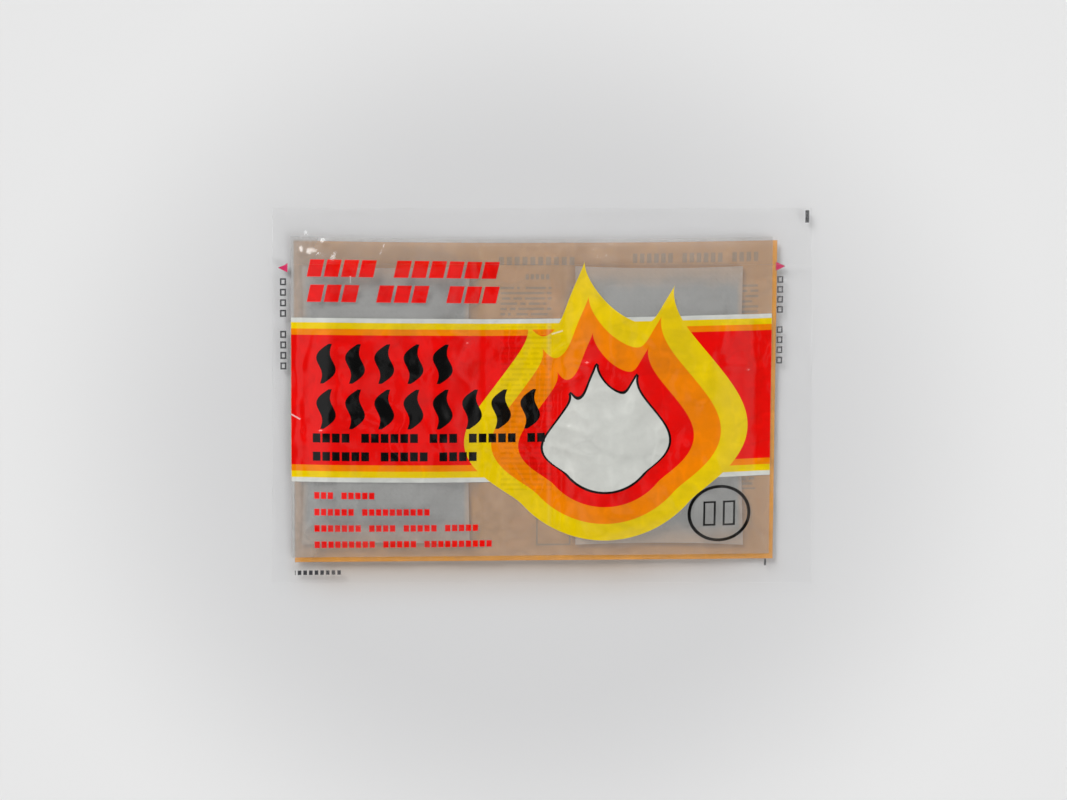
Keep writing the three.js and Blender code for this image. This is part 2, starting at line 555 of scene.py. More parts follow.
@dataclass(frozen=True)
class FrontPrint:
    """The front web's print: a silver ground, a striped band, a flame, and blocks instead of writing."""

    half_width: float = 80.0
    half_height: float = 53.5
    band_middle: float = -0.85
    band_halves: tuple[float, float, float, float] = (27.25, 25.75, 23.65, 21.6)
    flame_foot: Point = (25.0, -49.5)
    flame_rise: float = 31.0
    flame_scales: Triple = (0.97, 0.785, 0.60)
    body_radius: float = 38.0
    tongue_blend: float = 10.0
    tongues: tuple[Tongue, ...] = (
        Tongue((0.0, 10.0), 88.0, 33.0, 1.0, 9.0, 1.5),
        Tongue((-13.0, 12.0), 64.0, 22.0, -21.0, -7.0, 1.5, 0.6),
        Tongue((13.0, 12.0), 77.0, 22.0, 18.0, 8.0, 1.5, 0.6),
    )
    core_scale: float = 0.43
    core_line: float = 0.8
    wave_rows: tuple[tuple[float, int], ...] = ((11.2, 5), (-3.9, 8))
    wave_half: float = 6.6
    wave_left: float = -73.0
    wave_pitch: float = 9.7
    wave_line: float = 2.7
    wave_taper: float = 0.8
    wave_sway: float = 1.5
    slant: float = 0.22
    head_rows: tuple[Row, ...] = (
        Row(43.0, 2.9, -74.5, 5.8, (4, 6), 0.16),
        Row(34.6, 2.9, -74.5, 5.8, (3, 3, 3), 0.16),
    )
    black_rows: tuple[Row, ...] = (
        Row(-13.5, 1.5, -73.0, 3.25, (4, 6, 3, 5, 2), 0.2),
        Row(-19.6, 1.5, -73.0, 3.25, (6, 5, 4), 0.2),
    )
    red_rows: tuple[Row, ...] = (
        Row(-32.6, 1.15, -72.5, 2.3, (3, 5), 0.2),
        Row(-38.2, 1.15, -72.5, 2.3, (6, 10), 0.2),
        Row(-43.7, 1.15, -72.5, 2.3, (7, 4, 5, 5), 0.2),
        Row(-49.2, 1.15, -72.5, 2.3, (9, 5, 10), 0.2),
    )
    badge: Point = (63.0, -40.0)
    badge_radius: float = 9.5
    badge_stretch: Pair = (1.06, 0.93)
    badge_line: float = 0.55
    sign_offset: float = 3.1
    sign_half: Pair = (2.0, 4.4)
    sign_hollow: Pair = (1.3, 3.7)
    code_middle: Point = (-71.0, -58.6)
    code_half: Pair = (8.0, 0.75)
    code_pitch: float = 1.9
    code_dash: float = 0.62
    arrow_foot: Point = (81.1, 43.0)
    arrow_length: float = 3.0
    arrow_half: float = 1.6
    arrow_slope: float = 0.5
    boxes_middle: Point = (82.6, 24.3)
    boxes_reach: float = 15.7
    box_pitch: float = 3.5
    box_half: Pair = (0.75, 0.92)
    box_line: float = 0.25
    register_marks: tuple[tuple[Point, Point], ...] = (
        ((91.3, 60.4), (0.65, 2.1)),
        ((78.8, -56.4), (0.35, 1.1)),
    )

    def tongue(self, u: Term, v: Term, tongue: Tongue) -> Term:
        """Works out the rough signed distance to one tongue.

        Args:
            u: The place across, from the flame's foot.
            v: The place up, from the flame's foot.
            tongue: The tongue.

        Returns:
            The distance, below zero inside.
        """
        rise = (v - tongue.foot[1]) / tongue.height
        held = rise.held()
        swing = (held * tongue.sway_turn).step("SINE")
        centre = tongue.foot[0] + held * tongue.lean + swing * tongue.sway
        half = held**tongue.belly * (1 - held) ** tongue.tip * (tongue.half / tongue.fullness())
        return abs(u - centre) - half + tongue.tip_trim + abs(rise - held) * tongue.height

    def flame(self, u: Term, v: Term, scale: float) -> Term:
        """Works out the signed distance to the flame, drawn at a scale about its foot.

        Args:
            u: The place across the print.
            v: The place up the print.
            scale: The scale.

        Returns:
            The distance, below zero inside.
        """
        across = (u - self.flame_foot[0]) / scale
        up = (v - self.flame_foot[1] - (1 - scale) * self.flame_rise) / scale
        spot = u.bench.term("ShaderNodeCombineXYZ", {}, {0: across, 1: up})
        body = (0.0, self.body_radius, 0.0)
        shape = u.bench.vector("DISTANCE", spot, body, out="Value") - self.body_radius
        for tongue in self.tongues:
            shape = shape.joined(self.tongue(across, up, tongue), self.tongue_blend)
        return shape * scale

    def waves(self, u: Term, v: Term) -> Term:
        """Works out the mask of the two rows of rising heat strokes.

        Args:
            u: The place across the print.
            v: The place up the print.

        Returns:
            1 on the strokes and 0 off them.
        """
        mask: Term | None = None
        for middle, count in self.wave_rows:
            up = v - middle
            lean = u - up * self.slant - self.wave_left
            turn = (up * (math.pi / self.wave_half)).step("SINE")
            cell = (lean + turn * self.wave_sway).step("MODULO", self.wave_pitch)
            across = abs(cell - self.wave_pitch / 2)
            line = (1 - up * up * (self.wave_taper / self.wave_half**2)) * self.wave_line
            span = count * self.wave_pitch / 2
            shape = (across - line).most(abs(up) - self.wave_half).most(abs(lean - span) - span)
            mask = shape.inside() if mask is None else mask.most(shape.inside())
        return mask

    def badge_masks(self, u: Term, v: Term) -> tuple[Term, Term]:
        """Works out the badge's round window, and the black line and two pouch signs in it.

        Args:
            u: The place across the print.
            v: The place up the print.

        Returns:
            The mask of the window and the mask of the black.
        """
        across = (u - self.badge[0]) / self.badge_stretch[0]
        up = (v - self.badge[1]) / self.badge_stretch[1]
        spot = u.bench.term("ShaderNodeCombineXYZ", {}, {0: across, 1: up})
        reach = u.bench.vector("LENGTH", spot, out="Value") - self.badge_radius
        across, up = abs(across) - self.sign_offset, abs(up)
        sign = (abs(across) - self.sign_half[0]).most(up - self.sign_half[1])
        hollow = (abs(across) - self.sign_hollow[0]).most(up - self.sign_hollow[1])
        line = abs(reach) - self.badge_line
        return reach.inside(), line.least(sign.most(0.0 - hollow)).inside()

    def stack(self, bench: Bench, u: Term, v: Term) -> InkStack:
        """Lays all the inks.

        Args:
            bench: The material that is being made.
            u: The place across the print.
            v: The place up the print.

        Returns:
            The stack of inks.
        """
        inks = InkStack(bench)
        ground = oblong(u, v, (0.0, 0.0), (self.half_width, self.half_height))
        inks.lay(ground.inside(), SILVER)
        off_middle = abs(v - self.band_middle)
        edge = abs(u) - self.half_width
        for half, ink in zip(self.band_halves, (WHITE, YELLOW, ORANGE, RED)):
            inks.lay((off_middle - half).most(edge).inside(), ink)
        for scale, ink in zip(self.flame_scales, (YELLOW, ORANGE, RED)):
            inks.lay(self.flame(u, v, scale).inside(), ink)
        core = self.flame(u, v, self.core_scale)
        inks.lay((core - self.core_line).inside(), BLACK)
        inks.lay(core.inside(), WHITE)
        inks.lay(self.waves(u, v), BLACK)
        inks.lay(row_mask(u, v, self.head_rows, self.slant), RED)
        inks.lay(row_mask(u, v, self.black_rows), BLACK)
        inks.lay(row_mask(u, v, self.red_rows), RED)
        window, lines = self.badge_masks(u, v)
        inks.lay(window, SILVER)
        inks.lay(lines, BLACK)
        inks.lay(self.margin_marks(u, v), MAGENTA)
        inks.lay(self.margin_bars(u, v), GREY)
        inks.lay(self.code_dashes(u, v), GREY)
        return inks

    def code_dashes(self, u: Term, v: Term) -> Term:
        """Works out the short dashes under the print's lower left corner."""
        dash = abs((u + MAP_REACH).step("MODULO", self.code_pitch) - self.code_pitch / 2) - self.code_dash
        return dash.most(oblong(u, v, self.code_middle, self.code_half)).inside()

    def margin_marks(self, u: Term, v: Term) -> Term:
        """Works out the two small triangles that point outwards at the tear line.

        Args:
            u: The place across the print.
            v: The place up the print.

        Returns:
            1 on the triangles and 0 off them.
        """
        out = abs(u) - self.arrow_foot[0]
        slope = out * self.arrow_slope + abs(v - self.arrow_foot[1]) - self.arrow_half
        return slope.most(0.0 - out).most(out - self.arrow_length).inside()

    def margin_bars(self, u: Term, v: Term) -> Term:
        """Works out the hollow boxes under the triangles and the register marks in the clear margin.

        Args:
            u: The place across the print.
            v: The place up the print.

        Returns:
            1 on the boxes and marks and 0 off them.
        """
        middle, half_pitch = self.boxes_middle, self.box_pitch / 2
        start = BOX_CELLS * self.box_pitch + half_pitch - middle[1]
        cell = abs((v + start).step("MODULO", self.box_pitch) - half_pitch) - self.box_half[1]
        box = abs((abs(abs(u) - middle[0]) - self.box_half[0]).most(cell)) - self.box_line
        off_middle = abs(v - middle[1])
        shape = box.most(off_middle - self.boxes_reach).most(half_pitch - off_middle)
        for place, half in self.register_marks:
            shape = shape.least(oblong(u, v, place, half))
        return shape.inside()


@dataclass(frozen=True)
class BackPrint:
    """The back web's print: an amber ground with fine rows of plain marks, heading bars and a sign box."""

    half_width: float = 80.0
    half_height: float = 53.5
    heading: tuple[Row, ...] = (
        Row(47.4, 1.4, -12.5, 2.6, (10,), 0.35),
        Row(48.2, 1.6, 31.9, 2.35, (6, 6, 4), 0.35),
        Row(42.0, 1.6, -74.0, 3.1, (5, 8), 0.4),
        Row(42.1, 0.9, -3.5, 1.7, (5,), 0.35),
    )
    columns: tuple[Point, ...] = ((-74.0, -26.0), (-11.5, 5.5), (12.0, 74.0))
    row_pitch: float = 1.75
    row_share: float = 0.46
    text_top: float = 39.0
    text_bottom: float = -30.0
    mark_pitch: float = 0.95
    row_shift: float = 0.37
    word_gaps: float = 0.17
    word_edge: float = 4.0
    sign_middle: Point = (6.5, -42.5)
    sign_half: Pair = (5.5, 5.5)
    sign_line: float = 0.3

    def stack(self, bench: Bench, u: Term, v: Term) -> InkStack:
        """Lays all the inks.

        Args:
            bench: The material that is being made.
            u: The place across the print.
            v: The place up the print.

        Returns:
            The stack of inks.
        """
        inks = InkStack(bench)
        ground = oblong(u, v, (0.0, 0.0), (self.half_width, self.half_height))
        inks.lay(ground.inside(), AMBER)
        inks.lay(row_mask(u, v, self.heading), BROWN)
        inks.lay(self.text(bench, u, v), BROWN)
        sign = oblong(u, v, self.sign_middle, self.sign_half)
        inks.lay((abs(sign) - self.sign_line).inside(), BROWN)
        return inks

    def text(self, bench: Bench, u: Term, v: Term) -> Term:
        """Works out the mask of the fine rows of plain marks, broken as words would break them.

        Args:
            bench: The material that is being made.
            u: The place across the print.
            v: The place up the print.

        Returns:
            1 on the marks and 0 off them.
        """
        line = (v + MAP_REACH) / self.row_pitch
        row = line.step("FLOOR")
        cell = (u / self.mark_pitch + row * self.row_shift).step("FLOOR")
        key = bench.term("ShaderNodeCombineXYZ", {}, {0: cell, 1: row})
        chance = bench.term("ShaderNodeTexWhiteNoise", {"noise_dimensions": "2D"}, {"Vector": key}, 0)
        marks = (line.step("FRACT") - self.row_share) * self.row_pitch
        inside: Term | None = None
        for left, right in self.columns:
            end = abs(u - (left + right) / 2) - (right - left) / 2
            inside = end if inside is None else inside.least(end)
        middle = (self.text_top + self.text_bottom) / 2
        reach = (self.text_top - self.text_bottom) / 2
        gaps = (self.word_gaps - chance) * self.word_edge
        return marks.most(inside).most(abs(v - middle) - reach).most(gaps).inside()


# Finishes


@dataclass(frozen=True)
class FilmFinish:
    """Glossy packaging film, with or without a print on its outer face."""

    roughness: float = 0.06
    crinkle: float = 0.10
    crinkle_size: float = 4.5
    fine_crinkle: float = 0.012
    fine_size: float = 1.2
    # Painted highlight and shade along thin winding crinkles
    line_size: float = 11.0
    crinkle_shade_depth: float = 0.07
    line_sharpness: float = 20.0
    line_stretches: tuple[Triple, Triple] = ((1.0, 0.6, 1.0), (0.55, 1.0, 1.0))
    # Painted highlight along the long middle fold: where it runs, how wide and strong it is, and how it
    # fades along the fold
    crease_x: float = 2.3
    crease_half: float = 1.1
    crease_highlight: float = 0.12
    crease_foot: float = 9.0
    crease_run: float = 30.0
    crease_start: float = 0.4
    crease_ends: Pair = (0.25, 1.3)
    # Painted shade on the back print, darker towards its foot
    foot_shade: float = 0.10
    foot_run: float = 110.0
    mottle_size: float = 9.0
    mottle_cover: float = 0.30
    mottle_tone: float = 0.16
    wear_and_sheen_size: float = 22.0
    wear_gloss: float = 0.07
    highlight_colour: Colour = (0.9, 0.9, 0.88)
    haze_size: float = 14.0
    haze_gloss: float = 0.08
    inner_cover: float = 0.4
    # Painted highlight of the cut edge: its colour, noise size, cover and roughness
    edge_highlight_colour: Colour = (0.85, 0.86, 0.86)
    edge_size: float = 6.0
    edge_cover: Pair = (0.35, 0.3)
    edge_roughness: float = 0.3
    # Painted sheen: towards the left edge the film and its inks are made more opaque
    sheen_edge: float = -70.0
    sheen_run: float = 13.0
    edge_sheen: float = 0.5
    # Painted highlights: short white marks that stand in for glints on small creases
    painted_glints: tuple[tuple[Point, Point], ...] = (
        ((-83.7, -6.2), (-80.7, -7.9)),
        ((3.3, 20.5), (6.9, 21.6)),
        ((-63.7, 39.6), (-63.7, 37.2)),
    )
    glint_half: float = 0.2
    glint_soft: float = 0.3
    glint_strength: float = 0.6
    seen_through: float = 0.11
    gap_middle: float = -6.5
    gap_half: float = 15.5
    gap_soft: float = 2.0
    blue_weight: float = 2.0
    back_offset: Point = (2.3, 1.6)

    def relief(self, bench: Bench) -> None:
        """Gives the film its fine crinkles, smaller than the mesh can hold.

        Args:
            bench: The material that is being made.
        """
        here = bench.place()
        broad = bench.noise(here, self.crinkle_size, detail=3.0, rough=0.45)
        fine = bench.noise(here, self.fine_size)
        height = broad + fine * (self.fine_crinkle / self.crinkle)
        bench.bump(height, self.crinkle)

    def clear(self) -> bpy.types.Material:
        """Makes the bare film of the inner faces.

        Returns:
            The material.
        """
        bench = Bench("clear_film")
        here = bench.place()
        self.relief(bench)
        haze = bench.noise(here, self.haze_size, detail=3.0)
        return bench.finish(
            base_color=CLEAR.colour, metallic=CLEAR.metal, alpha=CLEAR.cover * self.inner_cover,
            roughness=self.roughness + haze * self.haze_gloss,
        )

    def edge(self) -> bpy.types.Material:
        """Makes the film's cut edge, with a painted highlight: a pale, partly opaque colour for the light
        it gathers.

        Returns:
            The material.
        """
        bench = Bench("film_edge")
        haze = bench.noise(bench.place(), self.edge_size)
        cover = self.edge_cover[0] + haze * self.edge_cover[1]
        return bench.finish(base_color=self.edge_highlight_colour, alpha=cover, roughness=self.edge_roughness)

    def lines(self, bench: Bench, place: Term) -> Term:
        """Works out painted highlight and shade along thin winding crinkles: the print pales along some and
        darkens along others.

        Args:
            bench: The material that is being made.
            place: The place on the packet.

        Returns:
            What is added to the print's depth of colour.
        """
        total: Term | Number = 0.0
        for stretch, depth in zip(self.line_stretches, (self.crinkle_shade_depth, -self.crinkle_shade_depth)):
            field = bench.noise(bench.vector("MULTIPLY", place, stretch), self.line_size)
            total = (1 - abs(field - 0.5) * self.line_sharpness).held() * depth + total
        return total

    def painted_glint_mask(self, bench: Bench, place: Term) -> Term:
        """Works out the mask of the short white painted glints on the front.

        Args:
            bench: The material that is being made.
            place: The place on the packet.

        Returns:
            1 on the painted glints and 0 off them.
        """
        mask: Term | None = None
        for start, end in self.painted_glints:
            run = np.subtract(end, start)
            length = float(np.hypot(*run))
            way = run / length
            offset = bench.vector("SUBTRACT", place, (*start, 0.0))
            along = bench.vector("DOT_PRODUCT", offset, (*way, 0.0), out="Value")
            across = bench.vector("DOT_PRODUCT", offset, (-way[1], way[0], 0.0), out="Value")
            shape = oblong(across, along, (0.0, length / 2), (self.glint_half, length / 2))
            shape = shape.inside(self.glint_soft)
            mask = shape if mask is None else mask.most(shape)
        return mask

    def text_behind(self, bench: Bench, colour: Term, x: Term, y: Term) -> Term:
        """Works out how the back web's text darkens the strong inks of the front between the pouches.

        Args:
            bench: The material that is being made.
            colour: The front's colour, whose strong inks hold no blue.
            x: The place across the packet.
            y: The place up the packet.

        Returns:
            How much darker the print is.
        """
        _, _, blue = bench.split(colour)
        marks = BackPrint().text(bench, x + self.back_offset[0], y + self.back_offset[1])
        between = (abs(x - self.gap_middle) - self.gap_half).inside(self.gap_soft)
        return marks * between * (1 - blue * self.blue_weight).held() * self.seen_through

    def printed(self, name: str, side: Side) -> bpy.types.Material:
        """Makes the outer face of one web with its print.

        Args:
            name: The material's name.
            side: Which web it is for.

        Returns:
            The material.
        """
        bench = Bench(name)
        flat = bench.term("ShaderNodeUVMap", {"uv_map": "print_map"}, {}, 0)
        centred = bench.vector("SUBTRACT", flat, (0.5, 0.5, 0.0))
        centred = bench.vector("MULTIPLY", centred, (MAP_REACH,) * 3)
        u, v, _ = bench.split(centred)
        pattern = FrontPrint() if side is Side.FRONT else BackPrint()
        inks = pattern.stack(bench, u, v)
        here = bench.place()
        self.relief(bench)
        mottle = bench.noise(here, self.mottle_size, detail=4.0, rough=0.6) - 0.5
        # Noise that varies the gloss and how strongly the painted fold highlight shows
        wear_and_sheen = bench.noise(here, self.wear_and_sheen_size, detail=3.0)
        cover = inks.cover * (1 + mottle * self.mottle_cover)
        x, y, _ = bench.split(here)
        # The print's depth of colour: random tone, plus painted highlight and shade along crinkles
        depth = 1 + mottle * self.mottle_tone + self.lines(bench, here)
        if side is Side.BACK:
            # Painted shade: the back print is darkened towards its foot
            depth = depth - (0.5 - y / self.foot_run).held() * self.foot_shade
        else:
            # Painted sheen: the film and its inks grow more opaque towards the left edge
            cover = cover * (1 + ((self.sheen_edge - x) / self.sheen_run).held() * self.edge_sheen)
            depth = depth - self.text_behind(bench, inks.colour, x, y)
        scale = {"operation": "SCALE"}
        colour = bench.term("ShaderNodeVectorMath", scale, {0: inks.colour, "Scale": depth})
        if side is Side.FRONT:
            # Painted highlight: the print pales towards a pale colour along the long middle fold
            crease = (1 - abs(x - self.crease_x) / self.crease_half).held() * self.crease_highlight
            run = (y - self.crease_foot) / self.crease_run + self.crease_start
            crease = crease * run.most(self.crease_ends[0]).least(self.crease_ends[1])
            # Painted highlights: white glint marks, also made opaque
            painted_glints = self.painted_glint_mask(bench, here) * self.glint_strength
            colour = bench.mix((crease * (wear_and_sheen + 0.5)).most(painted_glints), colour, self.highlight_colour)
            cover = cover.most(painted_glints)
        return bench.finish(
            base_color=colour, metallic=inks.metal, alpha=cover.held(),
            roughness=self.roughness + wear_and_sheen * self.wear_gloss,
        )


@dataclass(frozen=True)
class NonwovenFinish:
    """Point-bonded nonwoven cloth, grey over the dark powder and warm cream in the empty seams."""

    name: str
    colour: Colour
    shade: Colour
    bond_pitch: float = 1.3
    bond_depth: float = 0.06
    fibre_size: float = 0.35
    seam_colour: Colour = (0.55, 0.385, 0.26)
    side_fade: float = 2.6
    end_fade: float = 9.0
    seam_unevenness: float = 0.5
    fibre_stretch: Triple = (1.0, 0.35, 1.0)
    fibre_tone: float = 0.45
    fibre_lift: float = 0.5
    fibre_gloss: float = 0.12
    cloud_size: float = 7.0
    cloud_tone: float = 0.7
    tone_start: float = 0.25
    roughness: float = 0.82
    edge_roughness: float = 0.9

    def material(self, middle: Point, half: Point) -> bpy.types.Material:
        """Makes the cloth of one pouch, which is thinner pressed towards its edges.

        Args:
            middle: The pouch's centre.
            half: Half the pouch's width and length.

        Returns:
            The material.
        """
        bench = Bench(self.name)
        here = bench.place()
        x, y, _ = bench.split(here)
        turn = math.pi * math.sqrt(0.5) / self.bond_pitch
        bonds = ((x + y) * turn).step("SINE") * ((x - y) * turn).step("SINE")
        along = bench.vector("MULTIPLY", here, self.fibre_stretch)
        fibres = bench.noise(along, self.fibre_size, detail=3.0, rough=0.6)
        cloud = bench.noise(here, self.cloud_size, detail=3.0, rough=0.55)
        at_side = (abs(x - middle[0]) - half[0]) / self.side_fade
        at_end = (abs(y - middle[1]) - half[1]) / self.end_fade
        in_seam = (at_side.most(at_end) + 1 + (cloud - 0.5) * self.seam_unevenness).held()
        tone = (cloud * self.cloud_tone + fibres * self.fibre_tone - self.tone_start).held()
        face = bench.mix(tone, self.shade, self.colour)
        colour = bench.mix(in_seam.eased(), face, self.seam_colour)
        bench.bump(bonds.most(0.0) * -1.0 + fibres * self.fibre_lift, self.bond_depth)
        return bench.finish(base_color=colour, roughness=self.roughness + fibres * self.fibre_gloss)

    def edge(self) -> bpy.types.Material:
        """Makes the cloth's cut edge.

        Returns:
            The material.
        """
        bench = Bench(f"{self.name}_edge")
        fibres = bench.noise(bench.place(), self.fibre_size, detail=3.0, rough=0.6)
        colour = bench.mix(fibres, self.shade, self.colour)
        return bench.finish(base_color=colour, roughness=self.edge_roughness)


@dataclass(frozen=True)
class PowderFinish:
    """Damp iron powder with carbon and pale mineral grains."""

    colour: Colour = (0.035, 0.031, 0.028)
    grain_colour: Colour = (0.16, 0.13, 0.10)
    grain_size: float = 0.35
    grain_depth: float = 0.25
    clump_size: float = 2.5
    pale_from: float = 0.52
    pale_rise: float = 6.0
    pale_gloss: float = 0.2
    roughness: float = 0.95

    def material(self) -> bpy.types.Material:
        """Makes the powder.

        Returns:
            The material.
        """
        bench = Bench("iron_powder")
        here = bench.place()
        cells = bench.term("ShaderNodeTexVoronoi", {}, {"Vector": here, "Scale": 1 / self.grain_size}, 0)
        clumps = bench.noise(here, self.clump_size, detail=4.0, rough=0.6)
        pale = ((clumps - self.pale_from) * self.pale_rise).held() * (1 - cells).held()
        bench.bump(1 - cells + clumps, self.grain_depth)
        colour = bench.mix(pale, self.colour, self.grain_colour)
        return bench.finish(base_color=colour, roughness=self.roughness - pale * self.pale_gloss)


# Geometry shared by the films and pouches


@dataclass(frozen=True)
class PouchPlan:
    """The sizes of one warmer pouch."""

    middle: Point
    width: float
    length: float
    seal_height: float
    seam: float = 5.0
    crown_run: float = 11.0
    side_draw: float = 0.7
    gauge: float = 0.25
    front_crown: float = 3.4
    back_crown: float = 1.4

    @classmethod
    def of(cls, half: Half) -> "PouchPlan":
        """Reads one pouch's place and size from its CAD node.

        Args:
            half: Which pouch.

        Returns:
            The plan.
        """
        low, high = box_mm(f"{half.value}_pouch_front_sheet")
        middle = (float(low[0] + high[0]) / 2, float(low[1] + high[1]) / 2)
        return cls(middle, float(high[0] - low[0]), float(high[1] - low[1]), float(low[2]))

    def crown(self, x: Field, y: Field) -> Field:
        """Works out how far the crown has risen.

        Args:
            x: Places across, from the pouch's centre.
            y: Places up, from the pouch's centre.

        Returns:
            0 in the seam and 1 on the top of the crown.
        """
        run_x = np.clip((self.width / 2 - self.seam - np.abs(x)) / self.crown_run, 0.0, 1.0)
        run_y = np.clip((self.length / 2 - self.seam - np.abs(y)) / self.crown_run, 0.0, 1.0)
        risen = np.maximum(0.0, 1 - np.hypot(1 - run_x, 1 - run_y))
        return 1 - (1 - risen) ** 2

    def drawn_in(self, x: Field, y: Field) -> tuple[Field, Field]:
        """Draws each side of the pouch inwards between its corners."""
        across, along = 2 * x / self.width, 2 * y / self.length
        return x - self.side_draw * across * (1 - along**2), y - self.side_draw * along * (1 - across**2)


@dataclass(frozen=True)
class PacketPlan:
    """The wrapper's outline and the pouches in it."""

    left: float
    right: float
    bottom: float
    top: float
    tear_line: float
    seal_height: float
    pouches: tuple[PouchPlan, PouchPlan]
    top_seal: float = 8.0
    bottom_seal: float = 7.0
    side_seal: float = 8.0
    closing_run: float = 10.8
    tent: float = 5.0
    shoulder: float = 12.7
    clearance: float = 0.3
    closing_shares: Pair = (0.7, 0.3)
    beside: float = 2.5
    beside_run: float = 3.0
    mouth_run: float = 4.0

    @classmethod
    def from_frame(cls) -> "PacketPlan":
        """Reads the packet's plan from its CAD nodes.

        Returns:
            The plan.
        """
        low, high = box_mm("wrapper_front_film")
        strip_low, strip_high = box_mm("tear_strip_front_film")
        tear_line = float(high[1] + strip_low[1]) / 2
        pouches = (PouchPlan.of(Half.LEFT), PouchPlan.of(Half.RIGHT))
        edges = (float(low[0]), float(high[0]), float(low[1]), float(strip_high[1]))
        return cls(*edges, tear_line, pouches[0].seal_height, pouches)

    def over_pouch(self, x: Field, y: Field, pouch: PouchPlan, crown: float) -> Field:
        """Works out how far a web stands off the seal plane over one pouch, whose mouth end is open.

        Args:
            x: Places across the packet.
            y: Places up the packet.
            pouch: The pouch.
            crown: How far the pouch stands off the seal plane on that side.

        Returns:
            The height of the web's smooth shape.
        """
        left = pouch.middle[0] - pouch.width / 2
        right = pouch.middle[0] + pouch.width / 2
        low = pouch.middle[1] - pouch.length / 2
        parted, over = np.ones_like(x), np.ones_like(x)
        for inwards, room in (
            (x - left, left - self.left - self.side_seal),
            (right - x, self.right - self.side_seal - right),
            (y - low, low - self.bottom - self.bottom_seal),
        ):
            reach = min(self.tent, room)
            parted *= ease((inwards + reach) / reach)
            over *= ease((inwards + reach) / (self.shoulder + reach))
        return (pouch.gauge + self.clearance) * parted + (crown - pouch.gauge) * over

    def web_lift(self, x: Field, y: Field, side: Side) -> Field:
        """Works out how far a web stands off the seal plane.

        Args:
            x: Places across the packet.
            y: Places up the packet.
            side: Which web.

        Returns:
            The height of the web's smooth shape.
        """
        lifts = []
        for pouch in self.pouches:
            crown = pouch.front_crown if side is Side.FRONT else pouch.back_crown
            lifts.append(self.over_pouch(x, y, pouch, crown))
        run = np.clip((self.top - self.top_seal - y) / self.closing_run, 0.0, 1.0)
        rounded, straight = self.closing_shares
        return np.maximum(*lifts) * (rounded * ease(run) + straight * run)

    def pouch_share(self, x: Field, y: Field) -> Field:
        """Works out where the pouches lie, with their way out of the mouth.

        Args:
            x: Places across the packet.
            y: Places up the packet.

        Returns:
            1 over the pouches and on their way out, falling to 0 a little beside them.
        """
        shares = []
        for pouch in self.pouches:
            in_x = pouch.width / 2 + self.beside - np.abs(x - pouch.middle[0])
            in_y = y - (pouch.middle[1] - pouch.length / 2) + self.beside
            shares.append(ease(in_x / self.beside_run) * ease(in_y / self.beside_run))
        return np.maximum(*shares) * ease((self.top - self.top_seal - y) / self.mouth_run)


def clear_selection() -> None:
    """Leaves nothing selected, so that an operator acts on the new piece alone."""
    if bpy.context.object and bpy.context.object.mode != "OBJECT":
        bpy.ops.object.mode_set(mode="OBJECT")
    bpy.ops.object.select_all(action="DESELECT")


def grid_piece(name: str, columns: Field, rows: Field) -> tuple[bpy.types.Object, Field, Field]:
    """Adds a flat grid whose lines stand at the given places.

    Args:
        name: The piece's name.
        columns: Places of the lines across, rising.
        rows: Places of the lines up, rising.

    Returns:
        The new object, and each vertex's place across and up.
    """
    clear_selection()
    bpy.ops.mesh.primitive_grid_add(
        x_subdivisions=len(columns) - 1, y_subdivisions=len(rows) - 1, size=2.0, calc_uvs=False
    )
    piece = bpy.context.object
    piece.name = piece.data.name = name
    flat = np.empty(len(piece.data.vertices) * 3)
    piece.data.vertices.foreach_get("co", flat)
    share = (flat.reshape(-1, 3)[:, :2] + 1) / 2
    across = columns[np.rint(share[:, 0] * (len(columns) - 1)).astype(int)]
    up = rows[np.rint(share[:, 1] * (len(rows) - 1)).astype(int)]
    return piece, across, up


def set_places(piece: bpy.types.Object, x: Field, y: Field, z: Field) -> None:
    """Moves a piece's vertices to places in millimetres."""
    piece.data.vertices.foreach_set("co", (np.column_stack([x, y, z]) * MM).ravel())
    piece.data.update()


def map_print(piece: bpy.types.Object, across: Field, up: Field) -> None:
    """Gives a piece a UV map that holds each corner's place on the flat print.

    Args:
        piece: The piece.
        across: Each vertex's place across the print.
        up: Each vertex's place up the print.
    """
    layer = piece.data.uv_layers.new(name="print_map")
    corners = np.empty(len(piece.data.loops), dtype=int)
    piece.data.loops.foreach_get("vertex_index", corners)
    flat = np.column_stack([across, up]) / MAP_REACH + 0.5
    layer.uv.foreach_set("vector", flat[corners].ravel())


def thicken(piece: bpy.types.Object, gauge: float, finishes: Sequence[bpy.types.Material]) -> None:
    """Turns a surface into a closed sheet.

    Args:
        piece: The surface, whose faces look outwards.
        gauge: The sheet's thickness.
        finishes: Materials of its outer face, inner face and cut edge.
    """
    for finish in finishes:
        piece.data.materials.append(finish)
    wall = piece.modifiers.new("gauge", "SOLIDIFY")
    wall.thickness = gauge * MM
    wall.offset = 0.0
    wall.use_rim = True
    wall.material_offset = 1
    wall.material_offset_rim = 2
    bpy.context.view_layer.objects.active = piece
    bpy.ops.object.modifier_apply(modifier=wall.name)
    bpy.ops.object.shade_smooth_by_angle(angle=SMOOTH_ANGLE)


def turn_over(piece: bpy.types.Object) -> None:
    """Turns a surface's faces to look the other way.

    Args:
        piece: The surface, the one object that is selected.
    """
    bpy.ops.object.mode_set(mode="EDIT")
    bpy.ops.mesh.select_all(action="SELECT")
    bpy.ops.mesh.flip_normals()
    bpy.ops.object.mode_set(mode="OBJECT")


def steps(low: float, high: float, pitch: float) -> Field:
    """Even steps from low to high, about a pitch apart."""
    return np.linspace(low, high, max(2, round((high - low) / pitch) + 1))


# Sub-assemblies


